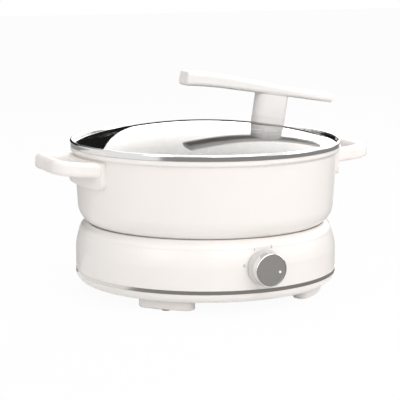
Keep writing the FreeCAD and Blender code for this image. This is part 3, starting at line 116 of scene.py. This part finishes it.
class Paint(Tree):
    """A material with a Principled surface, and calls for what varies over that surface."""

    def __init__(self, name):
        self.material = bpy.data.materials.new(name)
        self.material.use_nodes = True
        super().__init__(self.material.node_tree)
        self.out = self.add("OutputMaterial")
        self.shader = self.add("BsdfPrincipled")
        self.feed(self.out.inputs["Surface"], self.shader.outputs["BSDF"])

    def surface(self, **entries):
        """Sets the surface's own sockets: what is the same all over directly, the rest by a link."""
        for key, entry in entries.items():
            self.feed(self.shader.inputs[key.replace("_", " ")], entry)

    def place(self, scale=(1.0, 1.0, 1.0)):
        """The object's own place at the shaded point, in metres unless scaled."""
        spot = self.add("TexCoord")
        mapping = self.add("Mapping")
        mapping.inputs["Scale"].default_value = scale
        self.feed(mapping.inputs["Vector"], spot.outputs["Object"])
        return mapping.outputs["Vector"]

    def axes(self):
        """The object's X, Y and Z at the shaded point, one by one."""
        split = self.add("SeparateXYZ")
        self.feed(split.inputs["Vector"], self.place())
        return tuple(split.outputs)

    def radius(self, first, second):
        squares = self.math("ADD", self.math("POWER", first, 2.0), self.math("POWER", second, 2.0))
        return self.math("SQRT", squares)

    def noise(self, spot, scale, detail=3.0, roughness=0.55):
        node = self.add("TexNoise")
        node.inputs["Scale"].default_value = scale
        node.inputs["Detail"].default_value = detail
        node.inputs["Roughness"].default_value = roughness
        self.feed(node.inputs["Vector"], spot)
        return node.outputs["Fac"]

    def rings(self, reach, density, detail, roughness):
        """Fine turned rings: a noise along the distance from an axis, density lines per metre."""
        along = self.add("CombineXYZ")
        self.feed(along.inputs["X"], self.math("MULTIPLY", reach, density))
        return self.noise(along.outputs["Vector"], 1.0, detail, roughness)

    def span(self, factor, low, high, start=0.3, end=0.7, smooth=False):
        """Maps a factor from start..end to low..high, held at both ends."""
        node = self.add("MapRange", interpolation_type="SMOOTHSTEP" if smooth else "LINEAR")
        limits = {"From Min": start, "From Max": end, "To Min": low, "To Max": high}
        for key, limit in limits.items():
            node.inputs[key].default_value = limit
        self.feed(node.inputs["Value"], factor)
        return node.outputs["Result"]

    def mix(self, kind, factor, first, second):
        node = self.add("Mix", data_type=kind)
        first_socket, second_socket, result = MIX_SOCKETS[kind]
        self.feed(node.inputs["Factor"], factor)
        self.feed(node.inputs[first_socket], first)
        self.feed(node.inputs[second_socket], second)
        return node.outputs[result]

    def blend(self, factor, first, second):
        """A colour between two colours."""
        return self.mix("RGBA", factor, first, second)

    def either(self, factor, first, second):
        """A number between two numbers."""
        return self.mix("FLOAT", factor, first, second)

    def cloudy(self, spot, colour, mottle):
        """A colour with faint, wide clouds of a darker one."""
        lumps = self.noise(spot, CLOUDS, 4.0)
        cloud = self.span(lumps, 0.0, 1.0, start=0.25, end=0.75, smooth=True)
        return self.blend(cloud, colour, darker(colour, mottle))

    def bump(self, *heights):
        """Bumps on top of each other; each is a height factor and its depth in metres."""
        last = None
        for height, depth in heights:
            node = self.add("Bump")
            node.inputs["Strength"].default_value = 1.0
            node.inputs["Distance"].default_value = depth
            self.feed(node.inputs["Height"], height)
            if last is not None:
                self.feed(node.inputs["Normal"], last)
            last = node.outputs["Normal"]
        self.surface(Normal=last)


def dress(paint, *names):
    """Gives a material to carried-over nodes or to pieces."""
    for name in names:
        item = nodes[name] if isinstance(name, str) else name
        if not item.material_slots:
            item.data.materials.append(paint.material)
        for entry in item.material_slots:
            entry.material = paint.material


# Kinds of material; low and high are the limits of the roughness, and depths are in metres
def moulded(name, colour, low=0.30, high=0.36, mottle=0.985, grain=0.00002, coat=0.0):
    """Moulded or lacquered surface: faint clouds, orange peel as deep as grain, and fine grain."""
    paint = Paint(name)
    spot = paint.place()
    paint.surface(
        Base_Color=paint.cloudy(spot, colour, mottle),
        Roughness=paint.span(paint.noise(spot, GLOSS_GRAIN), low, high),
        Coat_Weight=coat,
        Coat_Roughness=0.08,
        IOR=LACQUER_IOR,
    )
    paint.bump(
        (paint.noise(spot, ORANGE_PEEL, 2.0), grain),
        (paint.noise(spot, FINE_GRAIN), grain * 0.4),
    )
    return paint


def brushed(name, colour, stretch, low=0.22, high=0.38, depth=0.000012, shade=0.82):
    """Metal with fine parallel lines; stretch says how dense the lines are along X, Y and Z."""
    paint = Paint(name)
    lines = paint.noise(paint.place(stretch), 1.0, 6.0, 0.7)
    cloud = paint.noise(paint.place(), 14.0)
    tone = paint.blend(paint.span(lines, 0.0, 1.0), colour, darker(colour, shade))
    paint.surface(
        Base_Color=paint.blend(paint.span(cloud, 0.0, 0.35), tone, darker(colour, 0.9)),
        Roughness=paint.span(lines, low, high),
        Metallic=1.0,
    )
    paint.bump((lines, depth))
    return paint


def rubber(name, colour):
    """Rubber or a wire's sleeve: matt, with dusty patches and a fine grain."""
    paint = Paint(name)
    spot = paint.place()
    dust = paint.span(paint.noise(spot, 60.0, 4.0), 0.0, 1.0)
    paint.surface(
        Base_Color=paint.blend(dust, colour, darker(colour, 0.72)),
        Roughness=paint.span(paint.noise(spot, 240.0, 4.0), 0.62, 0.85),
    )
    paint.bump((paint.noise(spot, 1500.0, 4.0), 0.00008))
    return paint


# Whites: casing, feet, pot handles and lid handle; the lid handle's white carries painted light
CASING_WHITE = (0.90, 0.868, 0.845)
POT_WHITE = (0.905, 0.872, 0.848)
# The lid handle's bar and post are painted lighter than the pot's white, standing in for light that
# falls on them; the collar takes a darker share of that white
BAR_WHITE_PAINTED_LIGHTER = (0.94, 0.922, 0.905)
HANDLE_GRAIN = 0.00004

foot_pads = [name for name in nodes if name.startswith("foot_pad_")]
feet = [name for name in nodes if name.startswith("foot_") and name not in foot_pads]

casing = moulded("casing_white", CASING_WHITE, coat=0.25)
dress(casing, "base_housing", "base_bottom", "top_deck")
foot_white = moulded("foot_white", darker(CASING_WHITE, 0.97), low=0.36, high=0.5)
dress(foot_white, *feet)
handle_white = moulded("handle_white", POT_WHITE, low=0.32, high=0.44, grain=HANDLE_GRAIN)
dress(handle_white, "pot_handle_right", "pot_handle_left")
# Bar and post: a white painted lighter than the same plastic elsewhere, as painted light
bar_white_painted_lighter = moulded("lid_handle_white", BAR_WHITE_PAINTED_LIGHTER, low=0.30, high=0.42, grain=HANDLE_GRAIN)
dress(bar_white_painted_lighter, "lid_bar", "lid_post")
collar_white = moulded(
    "collar_white", darker(BAR_WHITE_PAINTED_LIGHTER, 0.93), low=0.36, high=0.48, grain=HANDLE_GRAIN
)
dress(collar_white, "lid_collar")

# Pot: its inside is all that lies nearer than COATING_REACH to the middle of the wall's round
# corner, or to the line that leans out upwards from there; in metres
CORNER_OUT = 0.1165
CORNER_UP = 0.0993
WALL_LEAN = 0.063
COATING_REACH = 0.0239
COATING_BLACK = (0.012, 0.012, 0.012)
COATING_SPECK = (0.045, 0.043, 0.042)


def pot_enamel():
    """White lacquer outside and a speckled dark non-stick coating inside, told apart by place."""
    paint = Paint("pot_enamel")
    x, y, z = paint.axes()
    above = paint.math("SUBTRACT", z, CORNER_UP)
    leaning = paint.math("MULTIPLY", paint.math("MAXIMUM", above, 0.0), WALL_LEAN)
    out = paint.math("SUBTRACT", paint.math("SUBTRACT", paint.radius(x, y), leaning), CORNER_OUT)
    reach = paint.radius(paint.math("MAXIMUM", out, 0.0), paint.math("MINIMUM", above, 0.0))
    inside = paint.math("LESS_THAN", reach, COATING_REACH)
    spot = paint.place()
    speck = paint.noise(spot, GLOSS_GRAIN, 2.0)
    white = paint.cloudy(spot, POT_WHITE, 0.985)
    specks = paint.span(speck, 0.0, 1.0, start=0.56, end=0.66)
    black = paint.blend(specks, COATING_BLACK, COATING_SPECK)
    glossy = paint.span(paint.noise(spot, GLOSS_GRAIN), 0.28, 0.33)
    satin = paint.span(speck, 0.38, 0.55)
    paint.surface(
        Base_Color=paint.blend(inside, white, black),
        Roughness=paint.either(inside, glossy, satin),
        Coat_Weight=paint.either(inside, 0.3, 0.0),
        Specular_IOR_Level=paint.either(inside, 0.5, 0.25),
        Coat_Roughness=0.06,
        IOR=LACQUER_IOR,
    )
    paint.bump((paint.noise(spot, ORANGE_PEEL, 2.0), 0.00002), (speck, 0.000012))
    return paint


dress(pot_enamel(), "pot_body")


def clear_glass():
    """Tempered glass with the faint green of its edge and soft smears."""
    paint = Paint("lid_clear_glass")
    smear = paint.noise(paint.place(), 22.0, 5.0)
    tint = paint.blend(paint.span(smear, 0.0, 1.0), (0.975, 0.985, 0.975), (0.95, 0.965, 0.955))
    paint.surface(
        Base_Color=tint,
        Roughness=paint.span(smear, 0.0, 0.03, start=0.45, end=0.8),
        Transmission_Weight=1.0,
        IOR=1.5,
    )
    return paint


dress(clear_glass(), "lid_glass")

# Metals that show: the lid's band, the base's trim ring and the dial
CHROME = (0.80, 0.80, 0.79)
TRIM_GREY = (0.72, 0.69, 0.66)

band_steel = brushed(
    "band_steel", CHROME, (9.0, 9.0, 5200.0), low=0.10, high=0.18, depth=0.000004, shade=0.93
)
dress(band_steel, "lid_band")
trim_metal = brushed(
    "trim_metal", TRIM_GREY, (16.0, 16.0, 9000.0), low=0.12, high=0.20, depth=0.000004, shade=0.9
)
dress(trim_metal, "trim_ring")
bezel_chrome = brushed(
    "bezel_chrome", CHROME, (40.0, 6000.0, 40.0), low=0.04, high=0.08, depth=0.000002, shade=0.95
)
dress(bezel_chrome, "knob_bezel")


def spun_face():
    """Metal disc with fine rings about the dial's axis."""
    paint = Paint("spun_face")
    x, _, z = paint.axes()
    reach = paint.radius(x, paint.math("SUBTRACT", z, KNOB_LEVEL))
    rings = paint.rings(reach, density=5200.0, detail=5.0, roughness=0.7)
    cloud = paint.noise(paint.place(), 60.0)
    tone = paint.blend(paint.span(rings, 0.0, 1.0), (0.60, 0.59, 0.57), (0.52, 0.51, 0.49))
    paint.surface(
        Base_Color=paint.blend(paint.span(cloud, 0.0, 0.4), tone, (0.56, 0.55, 0.53)),
        Roughness=paint.span(rings, 0.34, 0.50),
        Metallic=1.0,
    )
    paint.bump((rings, 0.000006))
    return paint


dress(spun_face(), "knob_face")
skirt_grey = moulded("skirt_grey", (0.66, 0.655, 0.64), low=0.34, high=0.46, mottle=0.94)
dress(skirt_grey, "knob_skirt")
dot_white = moulded("dot_white", (0.93, 0.93, 0.92), low=0.3, high=0.4, mottle=0.97)
dress(dot_white, "knob_dot")

# Metals inside and underneath
turned_steel = brushed("turned_steel", (0.55, 0.55, 0.55), (60.0, 60.0, 3500.0))
dress(turned_steel, "switch_shaft", "switch_nut", "plate_standoffs", "sensor_clip", "sensor_spring")
plated = brushed(
    "plated_screw", (0.56, 0.56, 0.57), (900.0,) * 3, low=0.22, high=0.36, depth=0.00001, shade=0.9
)
dress(plated, "cover_screws", "standoff_screws", "inlet_screws", "lid_screw")
satin_metal = brushed(
    "satin_metal",
    (0.68, 0.68, 0.67),
    (300.0, 300.0, 2400.0),
    low=0.26,
    high=0.4,
    depth=0.00001,
    shade=0.9,
)
dress(satin_metal, "pot_rivets_right", "pot_rivets_left", "lid_washer", "sensor_cap")
sheet_metal = brushed("sheet_metal", (0.66, 0.66, 0.665), (1800.0, 40.0, 40.0), low=0.28, high=0.46)
dress(sheet_metal, "heat_shield", "sensor_guide")
element_steel = brushed(
    "element_steel", (0.24, 0.22, 0.20), (200.0,) * 3, low=0.42, high=0.62, depth=0.00002, shade=0.7
)
dress(element_steel, "heating_element")
pin_brass = brushed("pin_brass", (0.78, 0.60, 0.30), (60.0, 2400.0, 60.0), low=0.2, high=0.32)
dress(pin_brass, "inlet_pins")


def cast_plate():
    """Cast aluminium with machined rings on top and a faint heat bloom."""
    paint = Paint("cast_plate")
    x, y, _ = paint.axes()
    rings = paint.rings(paint.radius(x, y), density=1500.0, detail=3.0, roughness=0.6)
    spot = paint.place()
    bloom = paint.noise(spot, 18.0, 4.0)
    tone = paint.blend(paint.span(rings, 0.0, 1.0), (0.34, 0.34, 0.345), (0.27, 0.27, 0.275))
    paint.surface(
        Base_Color=paint.blend(paint.span(bloom, 0.0, 0.5), tone, (0.31, 0.295, 0.275)),
        Roughness=paint.span(rings, 0.30, 0.48),
        Metallic=1.0,
    )
    paint.bump((rings, 0.00002), (paint.noise(spot, 700.0, 4.0), 0.00003))
    return paint


dress(cast_plate(), "heating_plate")

# Dark and soft pieces
inlet_black = moulded(
    "inlet_black", (0.020, 0.020, 0.021), low=0.38, high=0.52, mottle=0.7, grain=0.00006
)
dress(inlet_black, "power_inlet")
switch_black = moulded(
    "switch_black", (0.030, 0.030, 0.032), low=0.42, high=0.58, mottle=0.7, grain=0.00006
)
dress(switch_black, "switch_body")
ceramic = moulded(
    "ceramic_case", (0.66, 0.63, 0.57), low=0.55, high=0.7, mottle=0.9, grain=0.00008
)
dress(ceramic, "thermal_cutout", "thermal_fuse")
dress(rubber("pad_rubber", (0.040, 0.039, 0.038)), *foot_pads)
dress(rubber("seal_rubber", (0.50, 0.495, 0.485)), "lid_gasket", "lid_under_gasket")
sleeve_brown = rubber("sleeve_brown", (0.20, 0.075, 0.035))
dress(sleeve_brown, "wire_inlet_to_switch", "wire_switch_to_element")
dress(rubber("sleeve_blue", (0.03, 0.10, 0.38)), "wire_inlet_to_element")
dress(rubber("sleeve_earth", (0.24, 0.40, 0.05)), "wire_earth")

# Marks round the dial: plain numbers printed on the casing's curved wall, at degrees to the
# left of straight up; lengths in metres
MARK_ANGLES = {"0": 83.0, "1": 30.0, "2": -22.0}
MARK_RADIUS = 0.0225
MARK_SIZE = 0.0046
MARK_PROUD = 0.00012
MARK_THICKNESS = 0.00025


def flat_number(text):
    """A number as a thin mesh on the floor, about its own middle in X and Y."""
    curve = bpy.data.curves.new("mark_" + text, "FONT")
    curve.body = text
    curve.size = MARK_SIZE
    curve.align_x = "CENTER"
    curve.align_y = "CENTER"
    curve.extrude = MARK_THICKNESS / 2
    curve.resolution_u = 6
    drawing = bpy.data.objects.new("mark_" + text, curve)
    bpy.context.scene.collection.objects.link(drawing)
    bpy.context.view_layer.update()
    drawn = drawing.evaluated_get(bpy.context.evaluated_depsgraph_get())
    mesh = bpy.data.meshes.new_from_object(drawn)
    bpy.data.objects.remove(drawing)
    for vertex in mesh.vertices:
        vertex.co.z += MARK_THICKNESS / 2
    return mesh


def bend_to_wall(mesh, angle):
    """Bends a flat mesh on to the casing's wall, at an angle round the dial."""
    left = math.sin(math.radians(angle)) * MARK_RADIUS
    level = KNOB_LEVEL + math.cos(math.radians(angle)) * MARK_RADIUS
    for vertex in mesh.vertices:
        along = (vertex.co.x - left) / BASE_RADIUS
        radius = BASE_RADIUS - MARK_THICKNESS + MARK_PROUD + vertex.co.z
        height = level + vertex.co.y
        vertex.co = Vector((math.sin(along) * radius, -math.cos(along) * radius, height))
    mesh.update()


def ink():
    """Grey printing ink, slightly worn."""
    paint = Paint("mark_ink")
    wear = paint.noise(paint.place(), 700.0, 4.0)
    paint.surface(
        Base_Color=paint.blend(paint.span(wear, 0.0, 1.0), (0.30, 0.29, 0.28), (0.42, 0.41, 0.40)),
        Roughness=paint.span(wear, 0.42, 0.6),
    )
    return paint


mark_ink = ink()
for label, angle in MARK_ANGLES.items():
    number_mesh = flat_number(label)
    bend_to_wall(number_mesh, angle)
    number = bpy.data.objects.new("dial_number_" + label, number_mesh)
    bpy.context.scene.collection.objects.link(number)
    dress(mark_ink, number)
    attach(number, "base")

# Stage: a pale floor that keeps the object's shadow, in metres
FLOOR_HALF = 6.0
FLOOR_WHITE = 0.95
FLOOR_CORNERS = ((-1, -1), (1, -1), (1, 1), (-1, 1))


def stage_piece(name, points, faces):
    mesh = bpy.data.meshes.new(name)
    mesh.from_pydata(points, [], faces)
    item = bpy.data.objects.new(name, mesh)
    bpy.context.scene.collection.objects.link(item)
    return item


def stage_sheet(name, corners):
    return stage_piece(name, corners, [tuple(range(len(corners)))])


def floor_pale():
    """Pale grey to the object's light, and nearly even white to the view."""
    paint = Paint("floor_pale")
    grain = paint.span(paint.noise(paint.place(), 5.0), 0.0, 1.0)
    paint.surface(Base_Color=paint.blend(grain, (0.80,) * 3, (0.79,) * 3), Roughness=0.9)
    white = paint.white_to_view(paint.shader, "Emission", FLOOR_WHITE)
    paint.feed(paint.out.inputs["Surface"], white)
    return paint


floor = stage_sheet("floor", [(x * FLOOR_HALF, y * FLOOR_HALF, 0.0) for x, y in FLOOR_CORNERS])
dress(floor_pale(), floor)

# Studio cards that only reflections see: a soft box behind the lid, and dark surroundings.
# An upright card's corners are metres to the right and metres up.
CARD_TINT = (1.0, 0.975, 0.95)
CARD_HALF = 3.4
SOFT_BOX_FOOT = 0.30
SOFT_BOX_TOP = 3.6
SOFT_BOX = (
    (-0.275, SOFT_BOX_FOOT),
    (-0.352, 0.507),
    (-0.711, 1.563),
    (-1.43, SOFT_BOX_TOP),
    (CARD_HALF, SOFT_BOX_TOP),
    (CARD_HALF, SOFT_BOX_FOOT),
)
DARK_FLAG_TOP = 3.7
DARK_FLAG = (
    (-CARD_HALF, 0.0),
    (CARD_HALF, 0.0),
    (CARD_HALF, DARK_FLAG_TOP),
    (-CARD_HALF, DARK_FLAG_TOP),
)
SWEEP_STEPS = 24
SWEEP_LIFT = 0.0006


def only_reflected(item, level, through_glass=False):
    """Hides a card from all but reflections; the glass's inner side reflects as through glass."""
    item.visible_camera = False
    item.visible_diffuse = False
    item.visible_shadow = False
    item.visible_transmission = through_glass
    item.visible_volume_scatter = False
    paint = Paint(item.name)
    paint.surface(Base_Color=(0.0, 0.0, 0.0), Roughness=1.0, Specular_IOR_Level=0.0)
    paint.surface(Emission_Color=CARD_TINT, Emission_Strength=level)
    dress(paint, item)


def back_card(name, away, corners, level):
    """An upright card, away metres behind the object."""
    places = [AHEAD * away + ASIDE * right + UP * height for right, height in corners]
    only_reflected(stage_sheet(name, places), level, through_glass=True)


def dark_sweep(name, level, start, end, near, far, top, lead=0.0):
    """A dark ring on the floor with an upright outer edge.

    start and end are degrees round from the camera, and the inner edge starts lead degrees
    before the outer one.
    """
    points, faces = [], []
    rows = ((near, SWEEP_LIFT, lead), (far, SWEEP_LIFT, 0.0), (far, top, 0.0))
    for step in range(SWEEP_STEPS + 1):
        share = step / SWEEP_STEPS
        for reach, height, early in rows:
            angle = math.radians(start + (end - start) * share - early * (1.0 - share))
            outwards = ASIDE * math.sin(angle) - AHEAD * math.cos(angle)
            points.append(outwards * reach + UP * height)
    for step in range(SWEEP_STEPS):
        for row in range(2):
            first = step * 3 + row
            faces.append((first, first + 1, first + 4, first + 3))
    only_reflected(stage_piece(name, points, faces), level)


back_card("soft_box", away=3.0, corners=SOFT_BOX, level=2.5)
back_card("dark_flag", away=3.1, corners=DARK_FLAG, level=0.012)
dark_sweep("dark_front", level=0.30, start=-34.0, end=150.0, near=0.17, far=2.6, top=0.30, lead=22.0)
dark_sweep("dark_back", level=0.05, start=150.0, end=205.0, near=1.9, far=3.05, top=0.02)
dark_sweep("dark_left", level=0.35, start=205.0, end=250.0, near=0.17, far=3.05, top=0.02)

# World: white to the view, a plain even light on the object
WORLD_TINT = (1.0, 0.99, 0.98)
WORLD_LIGHT = 0.55

world = bpy.data.worlds.new("studio")
bpy.context.scene.world = world
world.use_nodes = True
around = Tree(world.node_tree)
sky = around.add("Background")
around.feed(sky.inputs["Color"], WORLD_TINT)
around.feed(sky.inputs["Strength"], WORLD_LIGHT)
sky_out = around.add("OutputWorld")
around.feed(sky_out.inputs["Surface"], around.white_to_view(sky, "Background", 1.0))

# Lamps: a large soft key in front and above, a fill at each side, and one overhead; metres, watts
LAMP_AIM = Vector((0.0, 0.0, 0.10))
LAMP_TINT = (1.0, 0.985, 0.97)


def lamp(name, place, size, power):
    light = bpy.data.lights.new(name, "AREA")
    light.shape = "RECTANGLE"
    light.size, light.size_y = size
    light.energy = power
    light.color = LAMP_TINT
    item = bpy.data.objects.new(name, light)
    item.location = place
    item.rotation_euler = (LAMP_AIM - item.location).to_track_quat("-Z", "Y").to_euler()
    bpy.context.scene.collection.objects.link(item)


lamp("key", place=(0.15, -1.9, 1.25), size=(2.0, 1.2), power=20.0)
lamp("left_fill", place=(-1.9, -0.9, 0.9), size=(0.9, 1.2), power=6.5)
lamp("right_fill", place=(1.8, -0.6, 0.9), size=(0.9, 1.2), power=7.0)
lamp("top", place=(0.1, 0.1, 2.0), size=(1.6, 1.6), power=14.0)

# Camera
drop = math.radians(CAMERA_DROP)
gaze = AHEAD * math.cos(drop) - UP * math.sin(drop)
camera = bpy.data.objects.new("camera", bpy.data.cameras.new("camera"))
camera.location = ASIDE * CAMERA_ASIDE - AHEAD * CAMERA_AWAY + UP * CAMERA_HEIGHT
camera.rotation_euler = gaze.to_track_quat("-Z", "Y").to_euler()
camera.data.lens = CAMERA_LENS
bpy.context.scene.collection.objects.link(camera)
bpy.context.scene.camera = camera
bpy.context.scene.view_settings.view_transform = "Standard"
